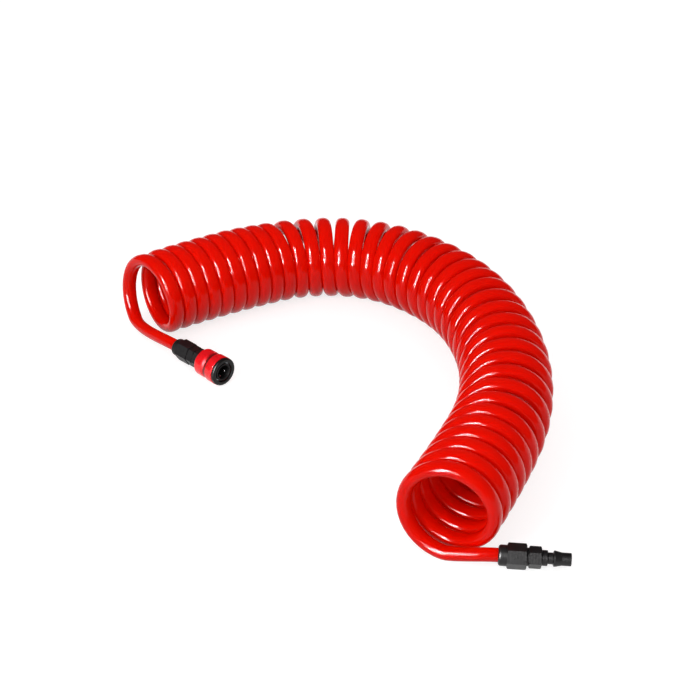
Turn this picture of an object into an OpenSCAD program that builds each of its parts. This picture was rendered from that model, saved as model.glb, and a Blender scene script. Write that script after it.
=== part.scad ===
// Coiled air hose: a recoil hose wound as one long spring and lying on its side in a curve,
// with a one-touch socket on one end and a plug on the other. Millimetres, +Z up, the
// surface that it lies on at z = 0, and the origin below the middle of the whole part.

/* [Hose] */
// Outer diameter of the hose
hose_od = 12.5; // [11.6:0.1:12.9]
// Bore of the hose
hose_bore = 8.5; // [8.2:0.1:9]
// Outer diameter of the coil at the socket end
coil_od_socket = 85; // [80:1:92]
// Outer diameter of the coil at the plug end
coil_od_plug = 93; // [86:1:98]
// Depth of the flat along the underside of the coil
rest_flat = 1.25; // [0.6:0.05:1.5]
// How far the first turn stands clear of the pack
first_turn_opening = 9; // [0:0.5:12]
// How far the last turn stands clear of the pack
last_turn_opening = 1; // [0:0.5:6]

/* [Curve of the coil] */
// Heading of the coil's axis at the socket end, degrees from +X
coil_heading = 36; // [20:1:50]
// Bend radius of each stretch of the coil
bend_radius = [850, 140, 220, 345, 1360]; // [130:5:2000]
// Angle that each stretch of the coil turns through
bend_angle = [10, 65, 32, 40, 5]; // [2:1:100]
// Turns of hose in each stretch
bend_turns = [9.5, 8, 5.75, 9.75, 6]; // [3:0.25:12]

/* [Hose nuts] */
// Width across the flats of a hose nut
nut_flats = 20; // [19.6:0.1:21]
// Length of a hose nut
nut_length = 24.5; // [23.5:0.5:26]
// Length of the nut's round nose
nut_nose = 7.5; // [6:0.5:8]
// Depth that the hose goes into its nut
hose_depth = 14; // [13:0.5:14.5]
// Diameter of the nut's thread
nut_thread_d = 16; // [15.6:0.1:16.2]
// Bore through the barbed tails
tail_bore = 5.8; // [5:0.1:6]
// Height of a barb
barb_height = 0.5; // [0.3:0.05:0.6]
// Barbs on each tail
barb_count = 4; // [3:1:5]

/* [Socket] */
// Width across the flats of the socket
socket_flats = 19; // [18.4:0.1:19.2]
// Length of the hexagon on the stem
stem_hex_length = 8; // [7:0.5:9]
// Length of the hexagon on the body
body_hex_length = 8.4; // [8:0.1:9]
// Diameter of the collar that the sleeve's spring stands on
collar_d = 22.2; // [22:0.05:22.4]
// Length of that collar
collar_length = 2.2; // [2:0.1:3]
// Length of the barrel ahead of the collar
barrel_length = 28.6; // [28.2:0.1:29]
// Bore of the entry, ahead of the locking balls
entry_bore = 14.6; // [14.5:0.05:15]
// Bore that takes the collar and the ridge of the plug
mouth_bore = 14.2; // [14.1:0.05:14.3]
// Bore that guides the nose of the plug
nose_guide_bore = 11.9; // [11.7:0.05:12.2]
// Bore of the valve's throat
throat_bore = 10.4; // [10.3:0.05:10.8]
// Bore of the valve's chamber
chamber_bore = 14.8; // [14.6:0.05:15]
// Diameter of the thread between stem and body
body_thread_d = 17.4; // [17.2:0.05:17.6]

/* [Ball lock] */
// Diameter of a locking ball
ball_d = 3.5; // [3.3:0.05:3.6]
// How far a locked ball stands into the mouth
ball_reach = 1.25; // [1.1:0.05:1.3]
// Distance from the end of the barrel back to the balls
ball_depth = 7; // [6.8:0.1:7.2]
// Travel of the release sleeve
sleeve_travel = 4.5; // [4:0.1:4.6]

/* [Sleeve and guard] */
// Wall of the release sleeve round its spring
sleeve_wall = 3; // [2.6:0.1:3.4]
// Length of the part of the sleeve that shows
sleeve_length = 27.2; // [26.8:0.1:27.6]
// Length of the raised band at the front of the sleeve
sleeve_band_length = 5.8; // [5:0.1:6.4]
// How far that band stands up from the sleeve
sleeve_band_rise = 0.8; // [0.4:0.1:1]
// Width of the groove behind the band
sleeve_groove_width = 3.4; // [2.6:0.1:3.8]
// Depth of that groove
sleeve_groove_depth = 1.3; // [0.8:0.1:1.5]
// How far the front guard lies below the band
guard_inset = 0.3; // [0:0.1:0.8]
// Length of the front guard
guard_length = 3.8; // [3.5:0.1:4.2]

/* [Springs and valve] */
// Wire of the sleeve's spring
sleeve_wire = 1.1; // [1:0.05:1.2]
// Turns of the sleeve's spring
sleeve_spring_turns = 4.5; // [4:0.5:5]
// Wire of the valve's spring
valve_wire = 0.8; // [0.7:0.05:0.9]
// Turns of the valve's spring
valve_spring_turns = 5; // [4:0.5:5.5]
// Travel of the valve
valve_travel = 5; // [4.6:0.1:5.2]
// Outer diameter of the valve's nose
valve_nose_d = 9.7; // [9.5:0.05:9.8]

/* [Plug] */
// Width across the flats of the plug
plug_flats = 17; // [16.6:0.1:17.6]
// Length of the plug's hexagon
plug_hex_length = 11; // [10:0.2:13]
// Gap between the nut and the plug's hexagon
plug_neck_length = 1.6; // [1.2:0.1:2]
// Diameter of the plug's collar
plug_collar_d = 13.8; // [13.4:0.1:14]
// Length of the plug's collar
plug_collar_length = 5.2; // [5:0.1:5.6]
// Diameter of the groove that the balls lock into
plug_groove_d = 10.2; // [10:0.1:10.6]
// Length of that groove
plug_groove_length = 4.2; // [4:0.1:4.6]
// Diameter of the ridge ahead of the groove
plug_ridge_d = 14; // [13.6:0.05:14]
// Length of the cone between the ridge and the tip
plug_taper_length = 5.6; // [5:0.1:6]
// Diameter of the plug's tip
plug_tip_d = 11.5; // [11.3:0.05:11.7]
// Length of the plug's tip
plug_tip_length = 8.2; // [7.6:0.2:9]

/* [Hidden] */

// Clearances: where parts screw or slide together, where the lock and the valve run, and
// round the hose where it enters a nut
fit_gap = 0.05;
run_gap = 0.1;
hose_gap = 0.2;
// Gap that shows as the seam between two pieces that are screwed up tight
seam = 0.4;
// Small bevel on turned edges
bevel = 0.5;
cut_over = 1;
round_facets = 72;

// ---- Coil ----
hose_r = hose_od / 2;
cord_sides = 6;
lead_sides = 12;
rings_per_turn = 16;
// Corner radius that gives a tube of n sides the section area of the round hose
function corner_r(n) = hose_r * sqrt(PI / (n / 2 * sin(360 / n)));

bend_count = len(bend_radius);
function sum_to(list, count) = count == 0 ? 0 : list[count - 1] + sum_to(list, count - 1);
coil_turns = sum_to(bend_turns, bend_count);

// The axis of the coil is a chain of arcs that bend to the right. A place on it is
// [x, y, heading].
function along_arc(place, radius, angle) =
    let (heading = place[2] - angle)
    [place[0] + radius * (sin(place[2]) - sin(heading)),
     place[1] + radius * (cos(heading) - cos(place[2])),
     heading];
function bend_start(i) = i == 0 ? [0, 0, coil_heading]
    : along_arc(bend_start(i - 1), bend_radius[i - 1], bend_angle[i - 1]);
bend_starts = [for (i = [0:bend_count - 1]) bend_start(i)];
turns_before = [for (i = [0:bend_count - 1]) sum_to(bend_turns, i)];
function bend_at(turn) = max([for (i = [0:bend_count - 1]) turn >= turns_before[i] ? i : 0]);
function axis_place(turn) =
    let (i = bend_at(turn))
    along_arc(bend_starts[i], bend_radius[i],
              bend_angle[i] * (turn - turns_before[i]) / bend_turns[i]);

function forward(heading) = [cos(heading), sin(heading), 0];
function leftward(heading) = [-sin(heading), cos(heading), 0];
function winding_r(turn) =
    (coil_od_socket + (coil_od_plug - coil_od_socket) * turn / coil_turns) / 2 - hose_r;
// The first and the last turn ease away from the pack along the axis.
function opening(turn) =
    turn < 1 ? -first_turn_opening * pow(1 - turn, 2)
    : turn > coil_turns - 1 ? last_turn_opening * pow(turn - coil_turns + 1, 2)
    : 0;
// Height of the hose's middle where it lies on the floor, on its flat
foot_height = hose_r - rest_flat;
function coil_centre(turn) =
    let (place = axis_place(turn))
    [place[0], place[1], foot_height + winding_r(turn)] + opening(turn) * forward(place[2]);
function coil_outward(turn) =
    sin(360 * turn) * leftward(axis_place(turn)[2]) - [0, 0, cos(360 * turn)];
function coil_point(turn) = coil_centre(turn) + winding_r(turn) * coil_outward(turn);

function unit(v) = v / norm(v);
function level(v) = [v[0], v[1], 0];
function coil_run(low, high) =
    unit(coil_point(min(high, coil_turns)) - coil_point(max(low, 0)));
half_step = 0.5 / rings_per_turn;
end_step = 0.01;
// At both ends the hose leaves the coil level and runs straight for one diameter.
start_run = unit(level(coil_run(0, end_step)));
end_run = unit(level(coil_run(coil_turns - end_step, coil_turns)));
coil_start = coil_point(0) - hose_od * start_run;
coil_end = coil_point(coil_turns) + hose_od * end_run;

// Ring of corners round a point of the hose, square to its run, with the first flat
// towards the given side, and cut off flat at the floor
function hose_ring(centre, run, side, sides) =
    let (across = unit(side - (side * run) * run), along = cross(run, across))
    [for (k = [0:sides - 1])
        let (angle = 360 * (k + 0.5) / sides,
             corner = centre + corner_r(sides) * (cos(angle) * across + sin(angle) * along))
        [corner[0], corner[1], max(corner[2], 0)]];

down = [0, 0, -1];
ring_count = coil_turns * rings_per_turn;
coil_rings = concat(
    [hose_ring(coil_start, start_run, down, cord_sides),
     hose_ring(coil_point(0), start_run, down, cord_sides)],
    [for (i = [1:ring_count - 1])
        let (turn = i / rings_per_turn)
        hose_ring(coil_point(turn), coil_run(turn - half_step, turn + half_step),
                  coil_outward(turn), cord_sides)],
    [hose_ring(coil_point(coil_turns), end_run, down, cord_sides),
     hose_ring(coil_end, end_run, down, cord_sides)]);

// Least gap between one turn and the next, corner to corner
coil_gap = min([for (i = [1:ring_count + 1 - rings_per_turn], j = [-1:1])
    for (p = coil_rings[i], q = coil_rings[min(i + rings_per_turn + j, ring_count + 1)])
        norm(p - q)]);
coil_length = sum_to([for (i = [1:ring_count])
    norm(coil_point(i / rings_per_turn) - coil_point((i - 1) / rings_per_turn))], ring_count);

// Skin over a row of rings: a wall of triangles between neighbours and a fan at each end
module ring_skin(rings) {
    sides = len(rings[0]);
    last = len(rings) - 1;
    walls = [for (i = [0:last - 1], k = [0:sides - 1])
        let (next = (k + 1) % sides, a = i * sides + k, b = i * sides + next)
        each [[a, b, a + sides], [b, b + sides, a + sides]]];
    caps = [for (k = [1:sides - 2])
        each [[0, k + 1, k], [last * sides, last * sides + k, last * sides + k + 1]]];
    polyhedron(points = [for (ring = rings) each ring], faces = concat(walls, caps));
}

// ---- Places along the fittings, from the rear face of the hose nut ----
nut_r = nut_flats / 2;
hose_stand_out = 4;
tail_start = 2;
hole_r = hose_r + hose_gap;
grip_z = 11;
thread_start = hose_depth + 0.5;
plug_hex_z = nut_length + plug_neck_length;
plug_collar_z = plug_hex_z + plug_hex_length;
plug_groove_z = plug_collar_z + plug_collar_length;
ridge_slope = 1;
ridge_length = 1.2;
plug_ridge_z = plug_groove_z + plug_groove_length + ridge_slope;
plug_taper_z = plug_ridge_z + ridge_length;
plug_tip_z = plug_taper_z + plug_taper_length;
plug_end_z = plug_tip_z + plug_tip_length;
// From the middle of the groove to the end of the tip
plug_reach = plug_end_z - plug_groove_z - plug_groove_length / 2;

stem_hex_z = nut_length + seam;
spigot_z = stem_hex_z + stem_hex_length;
body_z = spigot_z + seam;
collar_z = body_z + body_hex_length;
barrel_z = collar_z + collar_length;
barrel_end_z = barrel_z + barrel_length;
ball_z = barrel_end_z - ball_depth;
// Where the end of the plug's tip comes to when the plug is locked in
tip_stop_z = ball_z - plug_reach;

// ---- Lock ----
mouth_r = mouth_bore / 2;
ball_r = ball_d / 2;
ball_count = 6;
ball_rest_r = mouth_r + ball_r - ball_reach;
ball_hole_r = ball_r + fit_gap;
// The hole narrows to a lip, which keeps the ball from falling in.
lip_hole_r = ball_r - 0.015;
lip_top_r = ball_rest_r - sqrt(pow(ball_r, 2) - pow(lip_hole_r - 0.02, 2));
land_r = ball_rest_r + ball_r + fit_gap;
barrel_r = land_r - run_gap;
// As the sleeve goes back, its ramp lets the balls out just clear of the bore.
ball_travel = ball_reach + fit_gap;
ramp = ball_travel / sleeve_travel;
ramp_z = ball_z - (ball_r + fit_gap) * tan(atan(ramp) / 2);
recess_r = land_r + ball_travel + fit_gap;
recess_z = ramp_z + (recess_r - land_r) / ramp;
stop_ring_r = recess_r - 0.45;
stop_ring_thick = 1.2;
stop_ring_z = ramp_z + (stop_ring_r + run_gap - land_r) / ramp;
stop_ring_bite = 0.75;

// ---- Sleeve and guard ----
sleeve_z = collar_z + seam / 2;
sleeve_front_z = sleeve_z + sleeve_length;
skirt_r = collar_d / 2 + hose_gap;
sleeve_r = skirt_r + sleeve_wall;
band_r = sleeve_r + sleeve_band_rise;
sleeve_spring_length = 11;
sleeve_step_z = barrel_z + sleeve_spring_length;
sleeve_spring_r = (barrel_r + skirt_r) / 2;
guard_z = sleeve_front_z + seam / 2;
guard_end_z = guard_z + guard_length;
guard_r = band_r - guard_inset;
guard_lip = 1.5;
guard_lip_r = stop_ring_r + 0.3;
spigot_wall = 1.15;
sleeve_spigot_r = recess_r + spigot_wall;
sleeve_end_z = guard_end_z - guard_lip - seam / 2;

// ---- Valve ----
stem_bore_end_z = stem_hex_z + 2.1;
gasket_thick = 1.2;
gasket_z = collar_z - 0.8;
seat_z = gasket_z + gasket_thick + 1.3;
throat_end_z = tip_stop_z - 0.5;
packing_z = tip_stop_z + 2.6;
packing_room = 4;
packing_groove_r = barrel_r - 1.3;
nose_end_z = tip_stop_z + valve_travel;
chamber_r = chamber_bore / 2;
seal_thick = 1.2;
seal_r = throat_bore / 2 + 1.3;
valve_head_thick = 2.2;
valve_head_z = seat_z - fit_gap - seal_thick - valve_head_thick;
valve_leg_length = 5;
valve_spring_r = 4.6;
entry_z = ball_z + ball_hole_r + 0.35;

// ---- Where the fittings lie ----
// Both leads start at an end of the coil and run outwards. Their points are [out, left,
// share of the climb], and each ends at the face of the hose where it enters the nut.
socket_lead = [[0, 0, 0], [9.8, 0.4, 0.06], [19.6, 1.8, 0.28], [29.3, 4.1, 0.6],
    [39, 7.2, 0.88], [48.8, 10.3, 1]];
plug_lead = [[0, 0, 0], [7, 1, 0.08], [13, 3.5, 0.3], [19, 7, 0.62], [24.5, 10.5, 0.88],
    [29, 13, 1]];
socket_swing = 18;
plug_swing = 25;
// The socket lies level on the band of its sleeve, and the hose holds its other end up. The
// plug lies on a flat of its nut.
socket_height = band_r;
plug_height = nut_r;

function azimuth(run) = atan2(run[1], run[0]);
start_azimuth = azimuth(-start_run);
end_azimuth = azimuth(end_run);
function lead_points(face, heading, route, climb) =
    [for (p = route) face + p[0] * forward(heading) + p[1] * leftward(heading)
        + [0, 0, p[2] * climb]];
socket_run = forward(start_azimuth + socket_swing);
plug_run = forward(end_azimuth + plug_swing);
socket_lead_points = lead_points(coil_start, start_azimuth, socket_lead,
    socket_height - foot_height);
plug_lead_points = lead_points(coil_end, end_azimuth, plug_lead, plug_height - foot_height);
function last_of(list) = list[len(list) - 1];
socket_at = last_of(socket_lead_points) + hose_stand_out * socket_run;
plug_at = last_of(plug_lead_points) + hose_stand_out * plug_run;

// Rings along a lead, square at each end to the piece that it meets
function lead_rings(points, first_run, last_run) =
    [for (i = [0:len(points) - 1])
        hose_ring(points[i],
                  i == 0 ? first_run
                  : i == len(points) - 1 ? last_run
                  : unit(points[i + 1] - points[i - 1]),
                  down, lead_sides)];
socket_lead_rings = lead_rings(socket_lead_points, -start_run, socket_run);
plug_lead_rings = lead_rings(plug_lead_points, end_run, plug_run);

// ---- Origin ----
// Outermost points of a disc that a fitting carries at a place along its axis
function disc_points(at, run, along, radius) =
    let (middle = at + along * run, across = unit([-run[1], run[0], 0]))
    [middle - radius * across, middle + radius * across];
nut_corner_r = nut_r / cos(30);
outermost = concat(
    [for (ring = coil_rings) each ring],
    [for (ring = plug_lead_rings) each ring],
    disc_points(plug_at, plug_run, nut_nose + bevel, nut_corner_r),
    disc_points(plug_at, plug_run, nut_length - bevel, nut_corner_r),
    disc_points(plug_at, plug_run, plug_end_z, plug_tip_d / 2 - bevel));
function middle_of(points, axis) =
    let (values = [for (p = points) p[axis]]) (min(values) + max(values)) / 2;
origin = [middle_of(outermost, 0), middle_of(outermost, 1), 0];

union() {
    echo(coil_turns = coil_turns, coil_length = coil_length, least_gap_to_itself = coil_gap);
    echo(socket_at = socket_at - origin, socket_run = socket_run);
    echo(plug_at = plug_at - origin, plug_run = plug_run);
}

// ---- Common pieces ----
// Stands a fitting's own axis, which is modelled along +Z, at its place on the floor
module lay(at, run) {
    translate(at - origin)
        rotate([0, 90, azimuth(run)])
            children();
}
module at_socket() { lay(socket_at, socket_run) children(); }
module at_plug() { lay(plug_at, plug_run) children(); }

// Turned solid from a profile of [radius, height] points
module turned(profile) { rotate_extrude($fn = round_facets) polygon(profile); }

// Hexagonal bar with its corners turned off at both ends
module hex_bar(flats, from, to) {
    tip_r = flats / sqrt(3);
    round_off = tip_r - flats / 2;
    intersection() {
        translate([0, 0, from])
            linear_extrude(to - from) rotate(30) circle(r = tip_r, $fn = 6);
        turned([[0, from], [flats / 2, from], [tip_r, from + round_off * tan(30)],
                [tip_r, to - round_off * tan(30)], [flats / 2, to], [0, to]]);
    }
}

// Arc of profile points, from one angle to another
function arc(centre, radius, from, to, steps) =
    [for (i = [0:steps])
        let (angle = from + (to - from) * i / steps)
        centre + radius * [cos(angle), sin(angle)]];

// Nut that draws the hose onto the barbed tail: a round nose, a hexagon, and inside it the
// hole for the hose, a cone that grips it, and the thread
module hose_nut() {
    nose_r = nut_r - 0.75;
    nose_round = 2.4;
    thread_r = nut_thread_d / 2 + fit_gap;
    difference() {
        union() {
            turned(concat([[0, 0]],
                arc([nose_r - nose_round, nose_round], nose_round, -90, 0, 6),
                [[nose_r, nut_nose + bevel], [0, nut_nose + bevel]]));
            hex_bar(nut_flats, nut_nose, nut_length);
        }
        turned([[0, -cut_over], [hole_r, -cut_over], [hole_r, grip_z],
                [thread_r, grip_z + thread_r - hole_r], [thread_r, nut_length + cut_over],
                [0, nut_length + cut_over]]);
    }
}

// Barbed tail inside the hose and the thread that the nut is on, up to a given place
module barbed_tail(to) {
    crest_r = hose_bore / 2 - fit_gap;
    root_r = crest_r - barb_height;
    pitch = (hose_depth - tail_start) / barb_count;
    turned(concat([[0, tail_start]],
        [for (i = [0:barb_count - 1])
            let (foot = tail_start + i * pitch)
            each [[root_r, foot], [crest_r, foot + pitch * 0.7], [crest_r, foot + pitch * 0.9],
                  [root_r, foot + pitch * 0.9]]],
        [[root_r, hose_depth + fit_gap], [nut_thread_d / 2 - bevel, hose_depth + fit_gap],
         [nut_thread_d / 2, thread_start + bevel], [nut_thread_d / 2, to], [0, to]]));
}

// End of the hose inside its nut, pushed over the barbs
module hose_end() {
    translate([0, 0, -hose_stand_out])
        difference() {
            cylinder(h = hose_stand_out + hose_depth, r = hose_r, $fn = round_facets);
            translate([0, 0, -cut_over])
                cylinder(h = hose_stand_out + hose_depth + 2 * cut_over, r = hose_bore / 2,
                         $fn = round_facets);
        }
}

// Round-wire spring with flat ends, standing on its lower end
module wire_spring(radius, wire, turns, length) {
    steps = 10;
    sides = 6;
    count = turns * steps;
    rise = length - wire;
    points = [for (i = [0:count])
        [radius * cos(360 * i / steps), radius * sin(360 * i / steps),
         wire / 2 + rise * i / count]];
    ring_skin([for (i = [0:count])
        let (run = unit(points[min(i + 1, count)] - points[max(i - 1, 0)]),
             out = [cos(360 * i / steps), sin(360 * i / steps), 0], up = cross(run, out))
        [for (k = [0:sides - 1])
            let (p = points[i] + wire / 2 * (cos(360 * k / sides) * out + sin(360 * k / sides) * up))
            [p[0], p[1], min(max(p[2], 0), length)]]]);
}

// ---- Hose ----
module hose_coil() {
    color("#d01208") translate(-origin) ring_skin(coil_rings);
}
module hose_lead_socket() {
    color("#d01208") translate(-origin) ring_skin(socket_lead_rings);
}
module hose_lead_plug() {
    color("#d01208") translate(-origin) ring_skin(plug_lead_rings);
}
module hose_end_socket() {
    color("#d01208") at_socket() hose_end();
}
module hose_end_plug() {
    color("#d01208") at_plug() hose_end();
}

// ---- Socket ----
module socket_nut() {
    color("#222222") at_socket() hose_nut();
}

// Stem: barbed tail and thread behind the hexagon, and ahead of it the spigot that screws
// into the body and holds the valve's spring
module socket_stem() {
    spigot_r = body_thread_d / 2;
    tail_r = tail_bore / 2;
    throat = 1.5;
    color("#222222") at_socket() difference() {
        union() {
            barbed_tail(stem_hex_z + fit_gap);
            hex_bar(socket_flats, stem_hex_z, spigot_z);
            translate([0, 0, spigot_z - bevel])
                cylinder(h = gasket_z - spigot_z + bevel, r = spigot_r, $fn = round_facets);
        }
        turned([[0, tail_start - cut_over], [tail_r, tail_start - cut_over],
                [tail_r, stem_bore_end_z - throat], [tail_r + throat, stem_bore_end_z],
                [chamber_r, stem_bore_end_z], [chamber_r, gasket_z + cut_over],
                [0, gasket_z + cut_over]]);
    }
}

module body_gasket() {
    color("#111111") at_socket()
        turned([[chamber_r + fit_gap, gasket_z], [body_thread_d / 2 - fit_gap, gasket_z],
                [body_thread_d / 2 - fit_gap, gasket_z + gasket_thick],
                [chamber_r + fit_gap, gasket_z + gasket_thick]]);
}

// Body: hexagon, the collar that the sleeve's spring stands on, and the barrel with the
// valve's seat, the packing's groove, the mouth and the holes of the locking balls
module socket_body() {
    thread_r = body_thread_d / 2 + fit_gap;
    throat_r = throat_bore / 2;
    guide_r = nose_guide_bore / 2;
    ring_room = fit_gap;
    color("#222222") at_socket() difference() {
        union() {
            hex_bar(socket_flats, body_z, collar_z + bevel);
            turned([[0, collar_z], [collar_d / 2, collar_z], [collar_d / 2, barrel_z],
                    [barrel_r, barrel_z], [barrel_r, barrel_end_z - bevel],
                    [barrel_r - bevel, barrel_end_z], [0, barrel_end_z]]);
        }
        turned([[0, body_z - cut_over], [thread_r, body_z - cut_over],
                [thread_r, gasket_z + gasket_thick], [chamber_r, gasket_z + gasket_thick],
                [chamber_r, seat_z], [throat_r, seat_z], [throat_r, throat_end_z],
                [guide_r, throat_end_z], [guide_r, packing_z],
                [packing_groove_r, packing_z], [packing_groove_r, packing_z + packing_room],
                [mouth_r, packing_z + packing_room], [mouth_r, entry_z],
                [entry_bore / 2, entry_z], [entry_bore / 2, barrel_end_z - bevel],
                [entry_bore / 2 + bevel + cut_over, barrel_end_z + cut_over],
                [0, barrel_end_z + cut_over]]);
        turned([[barrel_r - stop_ring_bite, stop_ring_z - ring_room],
                [barrel_r + cut_over, stop_ring_z - ring_room],
                [barrel_r + cut_over, stop_ring_z + stop_ring_thick + ring_room],
                [barrel_r - stop_ring_bite, stop_ring_z + stop_ring_thick + ring_room]]);
        for (i = [1:ball_count]) {
            rotate([0, 90, 360 * i / ball_count]) translate([-ball_z, 0, 0]) {
                cylinder(h = barrel_r + cut_over, r = lip_hole_r, $fn = round_facets);
                translate([0, 0, lip_top_r])
                    cylinder(h = barrel_r - lip_top_r + cut_over, r = ball_hole_r,
                             $fn = round_facets);
            }
        }
    }
}

// Lip packing that seals on the tip of the plug, with its pressure groove towards the valve
module plug_packing() {
    outer_r = packing_groove_r - fit_gap;
    inner_r = plug_tip_d / 2 - fit_gap;
    middle_r = (outer_r + inner_r) / 2;
    from = packing_z + fit_gap;
    to = packing_z + packing_room - fit_gap;
    groove_depth = 1.8;
    color("#111111") at_socket()
        turned([[inner_r, from], [middle_r - 0.5, from], [middle_r - 0.15, from + groove_depth],
                [middle_r + 0.15, from + groove_depth], [middle_r + 0.5, from],
                [outer_r, from], [outer_r, to], [inner_r, to]]);
}

// Valve: a hollow nose that the plug pushes, ports behind the throat's seat, a head that
// carries the seal, and legs that guide it in the chamber
module valve_poppet() {
    nose_r = valve_nose_d / 2;
    wall = 1.45;
    port_r = 1.6;
    port_z = seat_z + port_r + 0.3;
    head_r = chamber_r - 0.8;
    leg_r = chamber_r - run_gap;
    leg_wall = 1.9;
    leg_count = 4;
    leg_width = 3.2;
    leg_from = valve_head_z - valve_leg_length;
    color("#b98f45") at_socket() difference() {
        union() {
            turned([[0, valve_head_z], [head_r, valve_head_z],
                    [head_r, valve_head_z + valve_head_thick],
                    [nose_r, valve_head_z + valve_head_thick],
                    [nose_r, nose_end_z - bevel], [nose_r - bevel, nose_end_z],
                    [0, nose_end_z]]);
            intersection() {
                turned([[leg_r - leg_wall, leg_from], [leg_r, leg_from],
                        [leg_r, valve_head_z + bevel], [leg_r - leg_wall, valve_head_z + bevel]]);
                union() {
                    for (i = [1:leg_count / 2]) {
                        rotate(360 * i / leg_count)
                            translate([-chamber_r, -leg_width / 2, leg_from])
                                cube([2 * chamber_r, leg_width, valve_leg_length + bevel]);
                    }
                }
            }
        }
        translate([0, 0, valve_head_z + valve_head_thick])
            cylinder(h = nose_end_z - valve_head_z, r = nose_r - wall, $fn = round_facets);
        for (i = [1:2]) {
            rotate([0, 90, 90 * i]) translate([-port_z, 0, -chamber_r])
                cylinder(h = 2 * chamber_r, r = port_r, $fn = round_facets);
        }
    }
}

module valve_seal() {
    inner_r = valve_nose_d / 2 + fit_gap;
    from = valve_head_z + valve_head_thick;
    color("#111111") at_socket()
        turned([[inner_r, from], [seal_r, from], [seal_r, from + seal_thick],
                [inner_r, from + seal_thick]]);
}

module valve_spring() {
    color("#8f9296") at_socket() translate([0, 0, stem_bore_end_z])
        wire_spring(valve_spring_r, valve_wire, valve_spring_turns,
                    valve_head_z - stem_bore_end_z);
}

module locking_ball(i) {
    color("#c8cacc") at_socket() rotate(360 * i / ball_count)
        translate([ball_rest_r, 0, ball_z]) sphere(r = ball_r, $fn = round_facets);
}

// Sleeve that is drawn back to let the plug go: skirt over the spring, land that holds the
// balls in, ramp and recess that let them out, the spigot that carries the guard, and outside
// a groove and a raised band to hold it by
module release_sleeve() {
    chamfer = 1;
    groove_r = sleeve_r - sleeve_groove_depth;
    groove_flank = 0.8;
    band_z = sleeve_front_z - sleeve_band_length;
    groove_z = band_z - sleeve_groove_width;
    ramp_end_z = min(recess_z, sleeve_end_z);
    ramp_end_r = land_r + (ramp_end_z - ramp_z) * ramp;
    color("#c80f1c") at_socket()
        turned([[skirt_r, sleeve_z], [skirt_r, sleeve_step_z], [land_r, sleeve_step_z],
                [land_r, ramp_z], [ramp_end_r, ramp_end_z], [recess_r, sleeve_end_z],
                [sleeve_spigot_r, sleeve_end_z], [sleeve_spigot_r, sleeve_front_z],
                [band_r - bevel, sleeve_front_z], [band_r, sleeve_front_z - bevel],
                [band_r, band_z], [groove_r, band_z - groove_flank],
                [groove_r, groove_z + groove_flank], [sleeve_r, groove_z],
                [sleeve_r, sleeve_z + chamfer], [sleeve_r - chamfer, sleeve_z]]);
}

module front_guard() {
    inner_r = sleeve_spigot_r + fit_gap;
    front_round = 1.8;
    color("#1c1c1c") at_socket()
        turned(concat(
            [[inner_r, guard_z], [guard_r - bevel, guard_z], [guard_r, guard_z + bevel]],
            arc([guard_r - front_round, guard_end_z - front_round], front_round, 0, 90, 6),
            [[guard_lip_r + bevel, guard_end_z], [guard_lip_r, guard_end_z - bevel],
             [guard_lip_r, guard_end_z - guard_lip], [inner_r, guard_end_z - guard_lip]]));
}

module sleeve_spring() {
    color("#8f9296") at_socket() translate([0, 0, barrel_z])
        wire_spring(sleeve_spring_r, sleeve_wire, sleeve_spring_turns, sleeve_spring_length);
}

// Split ring in the barrel's groove that stops the sleeve
module sleeve_stop_ring() {
    inner_r = barrel_r - stop_ring_bite + fit_gap;
    split = 30;
    color("#8f9296") at_socket() translate([0, 0, stop_ring_z]) rotate(split / 2)
        rotate_extrude(angle = 360 - split, $fn = round_facets)
            translate([inner_r, 0]) square([stop_ring_r - inner_r, stop_ring_thick]);
}

// ---- Plug ----
module plug_nut() {
    color("#222222") at_plug() hose_nut();
}

// Plug: barbed tail and thread, neck, hexagon, collar, groove for the balls, ridge, cone
// and tip, with a bore right through that widens in the tip
module plug_body() {
    collar_r = plug_collar_d / 2;
    groove_r = plug_groove_d / 2;
    ridge_r = plug_ridge_d / 2;
    tip_r = plug_tip_d / 2;
    bore_r = tail_bore / 2;
    tip_bore_r = tip_r - 2;
    color("#222222") at_plug() difference() {
        union() {
            barbed_tail(plug_hex_z + bevel);
            hex_bar(plug_flats, plug_hex_z, plug_collar_z);
            turned([[0, plug_collar_z - bevel], [collar_r, plug_collar_z - bevel],
                    [collar_r, plug_groove_z - bevel], [collar_r - bevel, plug_groove_z],
                    [groove_r, plug_groove_z], [groove_r, plug_ridge_z - ridge_slope],
                    [ridge_r, plug_ridge_z], [ridge_r, plug_taper_z], [tip_r, plug_tip_z],
                    [tip_r, plug_end_z - bevel], [tip_r - bevel, plug_end_z],
                    [0, plug_end_z]]);
        }
        turned([[0, tail_start - cut_over], [bore_r, tail_start - cut_over],
                [bore_r, plug_tip_z], [tip_bore_r, plug_tip_z + tip_bore_r - bore_r],
                [tip_bore_r, plug_end_z + cut_over], [0, plug_end_z + cut_over]]);
    }
}

hose_coil();
hose_lead_socket();
hose_lead_plug();
hose_end_socket();
hose_end_plug();
socket_nut();
socket_stem();
body_gasket();
socket_body();
plug_packing();
valve_poppet();
valve_seal();
valve_spring();
locking_ball(1);  // locking_ball_1
locking_ball(2);  // locking_ball_2
locking_ball(3);  // locking_ball_3
locking_ball(4);  // locking_ball_4
locking_ball(5);  // locking_ball_5
locking_ball(6);  // locking_ball_6
release_sleeve();
front_guard();
sleeve_spring();
sleeve_stop_ring();
plug_nut();
plug_body();
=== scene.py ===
"""Coiled air hose: surfaces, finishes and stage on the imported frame. Metres, +Z up.

The hose is one tube carried along its real route, from inside the socket's nut, through its
turns, to inside the plug's nut. The release sleeve is turned anew with its groove and rounded
edges, the two springs are round wires, and the other fittings are the frame's own solids with
procedural finishes."""

import math

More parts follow.
